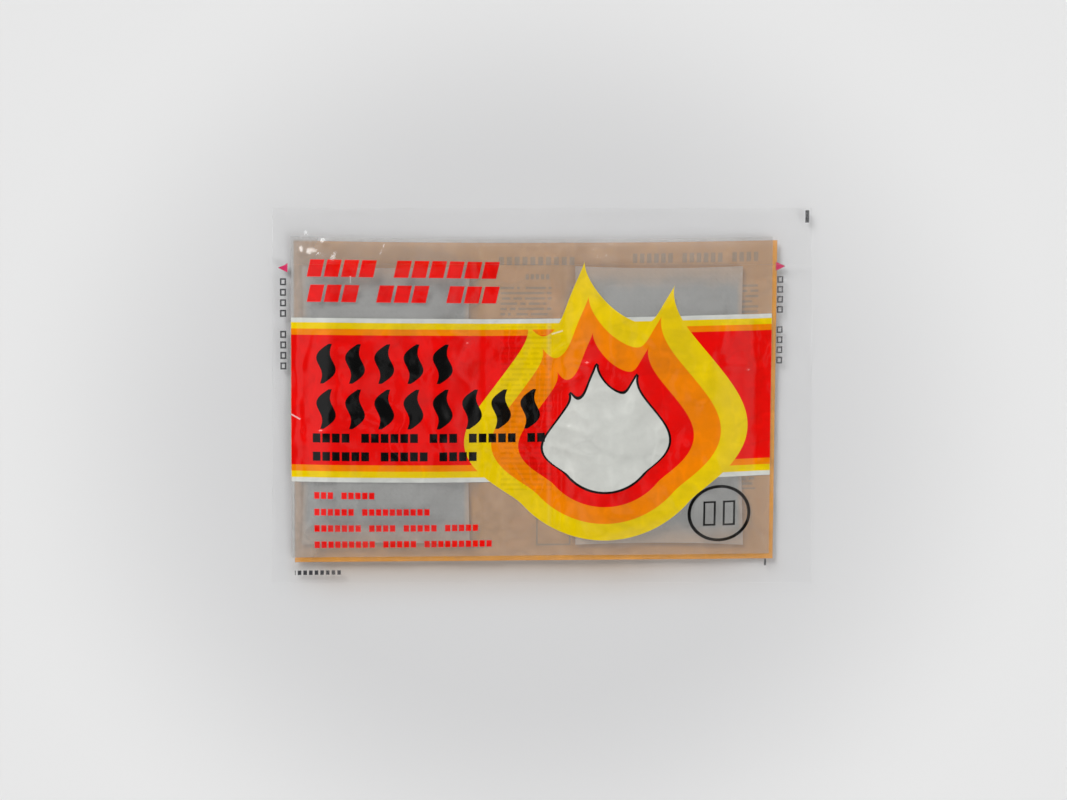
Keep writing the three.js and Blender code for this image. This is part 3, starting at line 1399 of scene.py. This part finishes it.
@dataclass
class FilmWrapper:
    """The wrapper's two film webs, each in two parts: the wrapper itself and the strip that tears off."""

    plan: PacketPlan
    gauge: float = 0.08
    pitch: float = 0.7
    seal_gap: float = 0.01
    tear_gap: float = 0.02
    notch_depth: float = 1.6
    notch_half: float = 0.8
    notch_reach: float = 5.0
    crease_x: float = 2.2
    bend_top: Point = (88.0, 27.5)
    bend_low: Point = (81.7, 9.5)
    bend_slope: float = 0.14
    bend_limit: float = 2.0
    inner_room: float = 0.12
    flat_sides: float = 5.0
    flat_bottom: float = 4.0
    flat_top: float = 5.0
    flat_run: float = 4.0
    seal_shares: Pair = (0.35, 0.65)
    back_shift: float = 3.0
    back_share: float = 0.6
    back_room: Pair = (0.04, 0.9)
    pouch_swells: Swells = Swells(23, 15.0, 0.10)
    margin_left: float = 14.0
    margin_right: float = 16.0
    margin_bottom: float = 12.0
    margin_top: float = 16.0
    margin_run: float = 14.0
    margin_shares: Pair = (0.12, 0.88)
    margin_swells: tuple[Swells, Swells] = (Swells(21, 34.0, 0.5), Swells(22, 13.0, 0.13))

    def creases(self) -> list[Ridge]:
        """Lists the folds and dents that the front web shows, the long middle crease first.

        Returns:
            The creases, each from its start to its end, with its width and height.
        """
        middle = self.crease_x
        return [
            Ridge((middle, 52.0), (middle + 0.3, 10.0), 0.55, 0.22),
            Ridge((middle + 0.3, 10.0), (middle, -55.0), 0.5, 0.2),
            Ridge((middle + 1.3, 40.0), (middle + 1.0, -40.0), 0.8, -0.1),
            Ridge((2.6, 12.6), (7.4, 16.4), 1.1, 0.46),
            Ridge((9.0, 11.2), (15.6, 9.9), 1.0, 0.40),
            Ridge((3.4, 1.8), (11.9, 6.0), 1.2, 0.43),
            Ridge((12.0, 16.5), (16.0, 17.5), 0.9, 0.30),
            Ridge((2.7, -3.2), (2.9, -3.8), 0.9, 0.36),
            Ridge((10.9, -4.9), (15.1, -8.0), 1.0, 0.40),
            Ridge((3.2, -9.2), (15.5, -13.1), 1.2, 0.50),
            Ridge((3.2, -16.8), (15.5, -20.1), 1.2, 0.52),
            Ridge((-20.7, -39.8), (-14.0, -46.5), 1.0, 0.36),
            Ridge((-80.7, -39.8), (-74.0, -49.8), 1.3, 0.4),
            Ridge((-75.0, 53.0), (-74.2, 43.0), 3.0, 0.5),
            Ridge((-78.2, 53.3), (-77.2, 52.9), 1.6, 1.0),
            Ridge((-72.2, 51.4), (-70.2, 52.4), 1.2, 0.8),
            Ridge((-80.8, 47.9), (-77.4, 46.8), 1.2, 0.7),
            Ridge((84.3, 0.8), (86.0, 0.2), 0.6, 0.3),
            Ridge((-2.0, 50.5), (4.5, 45.0), 1.2, -0.3),
            Ridge((8.0, 51.5), (12.5, 47.0), 1.1, -0.22),
            Ridge((-79.0, -45.5), (-70.5, -38.5), 1.0, 0.28),
            Ridge((-82.0, -44.0), (-76.5, -43.0), 0.9, 0.16),
            Ridge((-76.0, -53.0), (-72.5, -45.5), 1.0, 0.3),
            Ridge((-24.0, -46.5), (-19.0, -41.5), 1.0, 0.26),
            Ridge((-28.5, -52.5), (-26.0, -44.5), 1.1, 0.34),
            Ridge((-38.0, 51.5), (-33.0, 44.0), 1.5, 0.22),
            Ridge((-31.0, 51.0), (-27.5, 43.0), 1.4, -0.34),
            Ridge((-23.0, 50.5), (-18.5, 41.5), 1.3, 0.36),
            Ridge((24.0, 51.0), (29.0, 44.5), 1.3, 0.3),
            Ridge((48.0, 51.0), (52.5, 43.5), 1.4, -0.34),
            Ridge((62.0, 50.5), (66.0, 42.0), 1.3, 0.34),
            Ridge((66.0, -38.0), (74.0, -50.0), 1.2, 0.34),
            Ridge((20.0, -53.0), (36.0, -51.5), 1.2, 0.28),
            Ridge((-60.0, -52.8), (-40.0, -51.0), 1.2, 0.28),
            Ridge((-67.0, 58.0), (-54.0, 56.5), 1.6, 0.3),
            Ridge((-30.0, 57.5), (-12.0, 59.0), 1.4, 0.2),
            Ridge((25.0, 58.5), (44.0, 57.0), 1.5, 0.22),
        ]

    def crumples(self) -> list[Crumple]:
        """Lists the smaller crinkles, scattered where the film is slack.

        Returns:
            The scatters, each with its seed, count, corners, length, width, height, heading and spread.
        """
        plan = self.plan
        left, right = plan.pouches
        tops = (left.middle[0] - 28.0, 33.0), (right.middle[0] + 28.0, 52.0)
        between = (left.middle[0] + 27.0, -50.0), (right.middle[0] - 27.0, 44.0)
        left_end = (plan.left + 8, -52.0), (plan.left + 12, 50.0)
        right_end = (right.middle[0] + 28.0, -52.0), (plan.right - 10, 50.0)
        foot = (plan.left + 8, -55.0), (plan.right - 10, -49.0)
        all_over = (plan.left + 8, -50.0), (plan.right - 12, 42.0)
        return [
            Crumple(3, 46, *tops, 7.0, 1.2, 0.15, 20.0, 120.0),
            Crumple(5, 60, *between, 6.0, 1.0, 0.16, 70.0, 140.0),
            Crumple(7, 26, *left_end, 9.0, 0.8, 0.2, 90.0, 40.0),
            Crumple(8, 26, *right_end, 8.0, 0.9, 0.2, 90.0, 50.0),
            Crumple(9, 34, *foot, 9.0, 0.8, 0.2, 0.0, 60.0),
            Crumple(11, 210, *all_over, 6.0, 1.3, 0.32, 0.0, 180.0),
            Crumple(124, 180, *all_over, 3.0, 0.8, 0.15, 0.0, 180.0),
            Crumple(13, 26, *between, 15.0, 0.6, 0.12, 90.0, 16.0),
        ]

    def own_relief(self, x: Field, y: Field, side: Side) -> Field:
        """Works out the wrinkles of one web.

        Args:
            x: Places across the packet.
            y: Places up the packet.
            side: Which web.

        Returns:
            How far the web stands out from its smooth shape.
        """
        plan = self.plan
        total = np.zeros_like(x)
        ridges = self.creases() if side is Side.FRONT else []
        for crumple in self.crumples():
            ridges += crumple.ridges()
        for ridge in ridges:
            total += ridge.lift(x if side is Side.FRONT else x + self.back_shift, y)
        run = self.flat_run
        free = ease((x - plan.left - self.flat_sides) / run)
        free = free * ease((plan.right - self.flat_sides - x) / run)
        free = free * ease((y - plan.bottom - self.flat_bottom) / run)
        free = free * ease((plan.top - self.flat_top - y) / run)
        total = total * (self.seal_shares[0] + self.seal_shares[1] * free)
        over_pouch = plan.pouch_share(x, y)
        if side is Side.BACK:
            room = self.back_room[0] + self.back_room[1] * (1 - over_pouch)
            return np.clip(total * self.back_share, -self.inner_room / 3, room)
        total = total + self.pouch_swells.lift(x, y) * over_pouch
        return np.maximum(total, -self.inner_room)

    def shared_relief(self, x: Field, y: Field) -> Field:
        """Works out how the sealed webs wave together in the margins, clear of the pouches.

        Args:
            x: Places across the packet.
            y: Places up the packet.

        Returns:
            How far both webs are lifted.
        """
        plan = self.plan
        beside = 1 - plan.pouch_share(x, y)
        out_x = np.maximum(plan.left + self.margin_left - x, x - plan.right + self.margin_right)
        out_y = np.maximum(plan.bottom + self.margin_bottom - y, y - plan.top + self.margin_top)
        outer = np.clip(np.maximum(out_x / self.margin_run, out_y / self.margin_run), 0.0, 1.0)
        broad, fine = self.margin_swells
        waves = broad.lift(x, y) + fine.lift(x, y)
        lift = beside * (self.margin_shares[0] + self.margin_shares[1] * outer) * waves
        across, up = self.bend_top[0] - self.bend_low[0], self.bend_top[1] - self.bend_low[1]
        crease = self.bend_low[0] + np.clip((y - self.bend_low[1]) / up, 0.0, self.bend_limit) * across
        return lift - self.bend_slope * np.maximum(0.0, x - crease) * beside

    def rows(self, web: Web) -> Field:
        """Places the grid lines up one part of the web, with a line on its torn edge.

        Args:
            web: Which part.

        Returns:
            The places, rising.
        """
        plan = self.plan
        if web is Web.WRAPPER:
            edge = plan.tear_line - self.tear_gap / 2
            return np.append(steps(plan.bottom, edge - self.notch_half, self.pitch), edge)
        edge = plan.tear_line + self.tear_gap / 2
        return np.insert(steps(edge + self.notch_half, plan.top, self.pitch), 0, edge)

    def notched(self, x: Field, y: Field) -> Field:
        """Draws the outer ends of the grid lines inwards at the tear line, which leaves a V notch.

        Args:
            x: Places across the packet.
            y: Places up the packet.

        Returns:
            The places across, drawn in.
        """
        plan = self.plan
        near = np.clip(1 - np.abs(y - plan.tear_line) / self.notch_half, 0.0, 1.0)
        left = np.clip((plan.left + self.notch_reach - x) / self.notch_reach, 0.0, 1.0)
        right = np.clip((x - plan.right + self.notch_reach) / self.notch_reach, 0.0, 1.0)
        return x + self.notch_depth * near * (left - right)

    def film(self, web: Web, side: Side, finishes: Sequence[bpy.types.Material]) -> bpy.types.Object:
        """Builds one part of one web.

        Args:
            web: Which part, the wrapper or the tear-off strip.
            side: Which web, front or back.
            finishes: Materials of its outer face, inner face and cut edge.

        Returns:
            The finished piece.
        """
        plan = self.plan
        name = f"{web.value}_{side.name.lower()}_web"
        piece, x, y = grid_piece(name, steps(plan.left, plan.right, self.pitch), self.rows(web))
        plan_x = self.notched(x, y)
        off = plan.web_lift(x, y, side) + self.gauge / 2 + self.seal_gap + self.own_relief(x, y, side)
        z = plan.seal_height + self.shared_relief(x, y) + side.value * off
        set_places(piece, plan_x, y, z)
        frame_of_print = FRONT_PRINT if side is Side.FRONT else BACK_PRINT
        map_print(piece, *frame_of_print.on_print(x, y))
        if side is Side.BACK:
            turn_over(piece)
        thicken(piece, self.gauge, finishes)
        return piece

    def build(self) -> list[bpy.types.Object]:
        """Builds, dresses and places all four parts.

        Returns:
            The parts.
        """
        finish = FilmFinish()
        clear, edge = finish.clear(), finish.edge()
        made = []
        for side in Side:
            printed = finish.printed(f"{side.name.lower()}_print", side)
            for web in Web:
                piece = self.film(web, side, (printed, clear, edge))
                node = f"{web.value}_{side.name.lower()}_film"
                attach(piece, web.value)
                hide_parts(node)
                made.append(piece)
        return made


@dataclass
class WarmerPouch:
    """One warmer pouch: a porous front sheet and a laminated back sheet, sealed round the powder."""

    half: Half
    plan: PouchPlan
    front: NonwovenFinish
    back: NonwovenFinish
    filling: PowderFinish
    pitch: float = 0.65
    lump_seeds: tuple[int, int] = (31, 41)
    lump_height: float = 0.10
    lump_size: float = 7.0
    lump_growth: float = 2.4
    lump_ends: Pair = (-0.35, 0.12)
    lump_share: float = 0.9
    cloth_share: float = 0.9
    edge_ripple: Swells = Swells(51, 5.0, 0.05)
    powder_inset: float = 2.0
    powder_gap: float = 0.3
    powder_grain: float = 0.06
    grain_seed: int = 61
    under_share: float = 0.5
    powder_pitch: float = 1.0
    powder_rim: float = 0.2

    def lumps(self, x: Field, y: Field) -> Field:
        """Works out the unevenness of the powder under the cloth.

        Args:
            x: Places across, from the pouch's centre.
            y: Places up, from the pouch's centre.

        Returns:
            The lift at each place.
        """
        seed = self.lump_seeds[0 if self.half is Half.LEFT else 1]
        lift = Swells(seed, self.lump_size, self.lump_height).lift(x, y)
        lift += Swells(seed + 1, self.lump_growth * self.lump_size, self.lump_height).lift(x, y)
        return np.clip(lift, *self.lump_ends)

    def cloth(self, side: Side, finish: bpy.types.Material, edge: bpy.types.Material) -> bpy.types.Object:
        """Builds one sheet.

        Args:
            side: Which sheet, front or back.
            finish: The material of its faces.
            edge: The material of its cut edge.

        Returns:
            The finished piece.
        """
        plan = self.plan
        columns = steps(-plan.width / 2, plan.width / 2, self.pitch)
        rows = steps(-plan.length / 2, plan.length / 2, self.pitch)
        piece, x, y = grid_piece(f"{self.half.value}_pouch_{side.name.lower()}_cloth", columns, rows)
        crown = plan.crown(x, y)
        height = plan.front_crown if side is Side.FRONT else plan.back_crown
        lumps = self.lumps(x, y) if side is Side.FRONT else np.minimum(self.lumps(x, y), 0.0)
        off = (height - plan.gauge + lumps * self.lump_share) * crown + plan.gauge / 2
        ripple = self.edge_ripple.lift(x, y) * (1 - crown)
        z = plan.seal_height + side.value * off + ripple
        plan_x, plan_y = plan.drawn_in(x, y)
        set_places(piece, plan_x + plan.middle[0], plan_y + plan.middle[1], z)
        if side is Side.BACK:
            turn_over(piece)
        thicken(piece, plan.gauge * self.cloth_share, (finish, finish, edge))
        return piece

    def powder(self, finish: bpy.types.Material) -> bpy.types.Object:
        """Builds the powder filling, a flat lens with a rough skin.

        Args:
            finish: The powder's material.

        Returns:
            The finished piece.
        """
        plan = self.plan
        inset = plan.seam + self.powder_inset
        columns = steps(inset - plan.width / 2, plan.width / 2 - inset, self.powder_pitch)
        rows = steps(inset - plan.length / 2, plan.length / 2 - inset, self.powder_pitch)
        piece, x, y = grid_piece(f"{self.half.value}_pouch_powder_fill", columns, rows)
        set_places(piece, x, y, np.zeros_like(x))
        bpy.ops.object.mode_set(mode="EDIT")
        bpy.ops.mesh.select_all(action="SELECT")
        bpy.ops.mesh.extrude_region_move(TRANSFORM_OT_translate={"value": (0, 0, -self.powder_rim * MM)})
        bpy.ops.object.mode_set(mode="OBJECT")
        flat = np.empty(len(piece.data.vertices) * 3)
        piece.data.vertices.foreach_get("co", flat)
        x, y, z = flat.reshape(-1, 3).T / MM
        crown = plan.crown(x, y)
        chance = np.random.default_rng(self.grain_seed)
        grain = chance.uniform(-self.powder_grain, self.powder_grain, x.shape)
        rough = np.minimum(self.lumps(x, y), 0.0) + grain
        top = (plan.front_crown - plan.gauge) * crown - self.powder_gap + rough
        under = (plan.back_crown - plan.gauge) * crown - self.powder_gap + rough * self.under_share
        rim = self.powder_rim / 2
        lift = np.where(z > -rim, np.maximum(top, rim), -np.maximum(under, rim))
        set_places(piece, x + plan.middle[0], y + plan.middle[1], plan.seal_height + lift)
        bpy.ops.object.mode_set(mode="EDIT")
        bpy.ops.mesh.select_all(action="SELECT")
        bpy.ops.mesh.normals_make_consistent(inside=False)
        bpy.ops.object.mode_set(mode="OBJECT")
        piece.data.materials.append(finish)
        bpy.ops.object.shade_smooth_by_angle(angle=SMOOTH_ANGLE)
        return piece

    def build(self) -> list[bpy.types.Object]:
        """Builds, dresses and places the pouch's pieces.

        Returns:
            The pieces.
        """
        plan = self.plan
        half = (plan.width / 2, plan.length / 2)
        made = []
        for side, finish in ((Side.FRONT, self.front), (Side.BACK, self.back)):
            piece = self.cloth(side, finish.material(plan.middle, half), finish.edge())
            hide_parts(f"{self.half.value}_pouch_{side.name.lower()}_sheet")
            plan.width * MM
            made.append(piece)
        powder = self.powder(self.filling.material())
        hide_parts(f"{self.half.value}_pouch_powder")
        made.append(powder)
        for piece in made:
            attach(piece, f"{self.half.value}_pouch")
        return made


# Studio


@dataclass(frozen=True)
class Studio:
    """The pale floor, the soft lights and the camera straight above the packet."""

    view_middle: Point = (-2.83, -1.5)
    view_width: float = 355.7
    lens: float = 85.0
    sensor: float = 36.0
    print_height: float = 3.0
    floor_half: float = 2500.0
    floor_cells: int = 20
    floor_roughness: float = 0.9
    floor_colour: Colour = (0.80, 0.80, 0.80)
    # Painted shade: the floor darkens from floor_colour to floor_shade in a broad halo round the packet
    floor_shade: Colour = (0.64, 0.64, 0.645)
    shade_middle: Point = (-6.0, -14.0)
    shade_stretch: Triple = (0.96, 1.0, 0.0)
    shade_near: float = 80.0
    shade_far: float = 175.0
    cloud_size: float = 180.0
    cloud_depth: float = 0.03
    # Painted shadow along the packet's lower edge: its colour, ends, fades, line, reach and sharpness
    foot_shadow_colour: Colour = (0.505, 0.43, 0.37)
    foot_ends: Pair = (-86.0, 84.0)
    foot_fades: Pair = (16.0, 58.0)
    foot_line: float = -57.0
    foot_reach: float = 22.0
    foot_sharpness: int = 3
    ceiling: tuple[float, float, float, float] = (0.80, 0.96, 0.50, 0.01)

    def camera(self) -> None:
        """Sets up the camera."""
        made = bpy.data.cameras.new("camera")
        made.lens = self.lens
        made.sensor_width = self.sensor
        holder = bpy.data.objects.new("camera", made)
        distance = self.view_width * self.lens / self.sensor
        holder.location = Vector((*self.view_middle, distance + self.print_height)) * MM
        bpy.context.scene.collection.objects.link(holder)
        bpy.context.scene.camera = holder

    def floor(self) -> None:
        """Lays the floor, with painted shade in a halo round the packet and a painted shadow along its
        lower edge.
        """
        clear_selection()
        bpy.ops.mesh.primitive_grid_add(
            x_subdivisions=self.floor_cells, y_subdivisions=self.floor_cells, size=2 * self.floor_half * MM
        )
        piece = bpy.context.object
        piece.name = "floor"
        bench = Bench("pale_floor")
        here = bench.place()
        # Painted shade: darker near the packet, paler far from it
        away = bench.vector("SUBTRACT", here, (*self.shade_middle, 0.0))
        reach = bench.vector("LENGTH", bench.vector("MULTIPLY", away, self.shade_stretch), out="Value")
        share = ((reach - self.shade_near) / (self.shade_far - self.shade_near)).held().eased()
        cloud = bench.noise(here, self.cloud_size, detail=3.0) * self.cloud_depth
        colour = bench.mix(share - cloud, self.floor_shade, self.floor_colour)
        x, y, _ = bench.split(here)
        # Painted shadow: a warm soft shadow painted along the packet's lower edge
        foot = (1 - abs(y - self.foot_line) / self.foot_reach).held() ** self.foot_sharpness
        foot = foot * ((x - self.foot_ends[0]) / self.foot_fades[0]).held()
        foot = foot * ((self.foot_ends[1] - x) / self.foot_fades[1]).held()
        colour = bench.mix(foot, colour, self.foot_shadow_colour)
        piece.data.materials.append(bench.finish(base_color=colour, roughness=self.floor_roughness))

    def panel(self, name: str, place: Sequence[float], size: Point, power: float) -> None:
        """Hangs one oblong soft light, turned to the packet.

        Args:
            name: The light's name.
            place: Where it hangs.
            size: Its width and depth.
            power: Its strength.
        """
        made = bpy.data.lights.new(name, "AREA")
        made.shape = "RECTANGLE"
        made.size, made.size_y = size[0] * MM, size[1] * MM
        made.energy = power
        holder = bpy.data.objects.new(name, made)
        holder.location = Vector(place) * MM
        holder.rotation_euler = (-holder.location).to_track_quat("-Z", "Y").to_euler()
        bpy.context.scene.collection.objects.link(holder)

    def sun(self, name: str, place: Sequence[float], spread: float, power: float) -> None:
        """Adds one far-off soft light.

        Args:
            name: The light's name.
            place: A point in the direction from which it shines.
            spread: The width that it fills as seen from the packet, in degrees.
            power: Its strength.
        """
        made = bpy.data.lights.new(name, "SUN")
        made.angle = math.radians(spread)
        made.energy = power
        holder = bpy.data.objects.new(name, made)
        holder.rotation_euler = (-Vector(place)).to_track_quat("-Z", "Y").to_euler()
        bpy.context.scene.collection.objects.link(holder)

    def walls(self) -> bpy.types.World:
        """Makes the pale walls all round, under a ceiling that is dark straight above the packet.

        Returns:
            The scene's world.
        """
        world = bpy.data.worlds.new("studio")
        world.use_nodes = True
        tree = world.node_tree
        towards = tree.nodes.new("ShaderNodeTexCoord")
        parts = tree.nodes.new("ShaderNodeSeparateXYZ")
        fade = tree.nodes.new("ShaderNodeMapRange")
        fade.interpolation_type = "SMOOTHSTEP"
        for name, value in zip(("From Min", "From Max", "To Min", "To Max"), self.ceiling):
            fade.inputs[name].default_value = value
        back = tree.nodes["Background"]
        back.inputs["Color"].default_value = (1.0, 1.0, 1.0, 1.0)
        tree.links.new(towards.outputs["Generated"], parts.inputs[0])
        tree.links.new(parts.outputs["Z"], fade.inputs["Value"])
        tree.links.new(fade.outputs["Result"], back.inputs["Strength"])
        return world

    def build(self) -> None:
        """Sets up the whole studio."""
        scene = bpy.context.scene
        scene.view_settings.view_transform = "Standard"
        scene.world = self.walls()
        self.camera()
        self.floor()
        self.sun("key", place=(-0.50, 0.66, 0.54), spread=34.0, power=2.35)
        self.sun("fill", place=(0.70, -0.50, 0.46), spread=40.0, power=1.33)
        self.panel("overhead", place=(-60.0, -12.0, 1700.0), size=(900.0, 200.0), power=0.15)


def main() -> None:
    """Builds the studio, the pouches and the wrapper."""
    logging.basicConfig(level=logging.INFO, format="%(name)s: %(message)s")
    Studio().build()
    plan = PacketPlan.from_frame()
    porous = NonwovenFinish("porous_cloth", colour=(0.42, 0.42, 0.40), shade=(0.29, 0.29, 0.28))
    laminated = NonwovenFinish("laminated_cloth", colour=(0.62, 0.62, 0.61), shade=(0.50, 0.50, 0.50))
    for half, pouch_plan in zip(Half, plan.pouches):
        for piece in WarmerPouch(half, pouch_plan, porous, laminated, PowderFinish()).build():
            log.info("%s: %d faces", piece.name, len(piece.data.polygons))
    for piece in FilmWrapper(plan).build():
        log.info("%s: %d faces", piece.name, len(piece.data.polygons))


if __name__ == "__main__":
    main()
